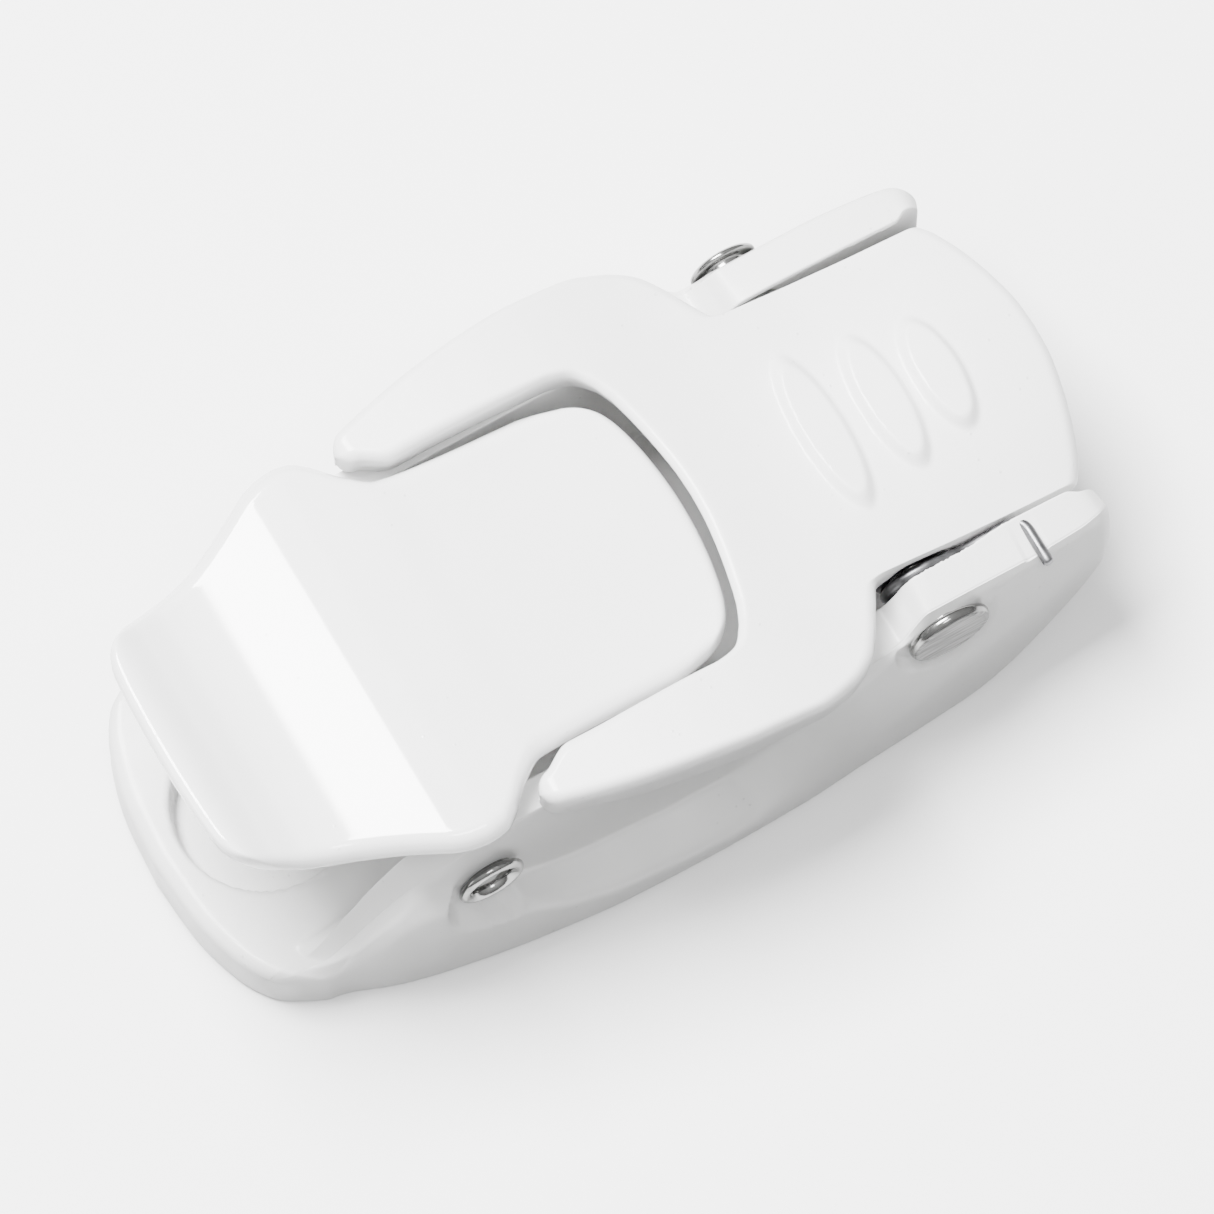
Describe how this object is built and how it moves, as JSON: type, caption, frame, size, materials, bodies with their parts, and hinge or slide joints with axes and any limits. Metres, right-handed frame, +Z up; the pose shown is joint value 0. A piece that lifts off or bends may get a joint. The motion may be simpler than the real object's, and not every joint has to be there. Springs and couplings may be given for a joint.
{
  "type": "stair gate latch",
  "caption": "White cast latch with a forked lever and an S-curved thumb lever, each sprung and hinged on a rivet across a boat-shaped base.",
  "frame": {"origin": "on the flat underside, on the middle plane, 48.2 mm back from the ears' noses", "axes": "+X along the latch towards the finger end, +Y across it, +Z up from the flat underside"},
  "size_m": [0.1022, 0.052, 0.0386],
  "materials": {
    "casting_paint": "white powder coat, satin, fine texture",
    "fork_paint": "white powder coat, satin",
    "thumb_paint": "white enamel, glossy",
    "rivet_steel": "bright steel, lightly brushed face",
    "spring_steel": "dark spring wire"
  },
  "bodies": {
    "root": {"base_casting": "casting_paint", "main_pivot_rivet": "rivet_steel", "thumb_pivot_rivet": "rivet_steel", "pivot_sleeve": "rivet_steel", "pivot_washer": "rivet_steel", "thumb_washer_near": "rivet_steel", "thumb_washer_far": "rivet_steel", "main_torsion_spring": "spring_steel", "thumb_spring_near": "spring_steel", "thumb_spring_far": "spring_steel"},
    "fork": {"fork_lever": "fork_paint"},
    "thumb": {"thumb_lever": "thumb_paint"}
  },
  "joints": [
    {"name": "fork_hinge", "type": "hinge", "parent": "root", "child": "fork", "pos_m": [0.0277, 0, 0.0213], "axis": [0, 1, 0], "range_deg": [0, 6], "stiffness_Nm_per_rad": 0.6, "springref_deg": -20.05},
    {"name": "thumb_hinge", "type": "hinge", "parent": "root", "child": "thumb", "pos_m": [-0.0242, 0, 0.017], "axis": [0, 1, 0], "range_deg": [-12, 0], "stiffness_Nm_per_rad": 0.5, "springref_deg": 14.32, "deforming": ["thumb_spring_near", "thumb_spring_far"]}
  ]
}
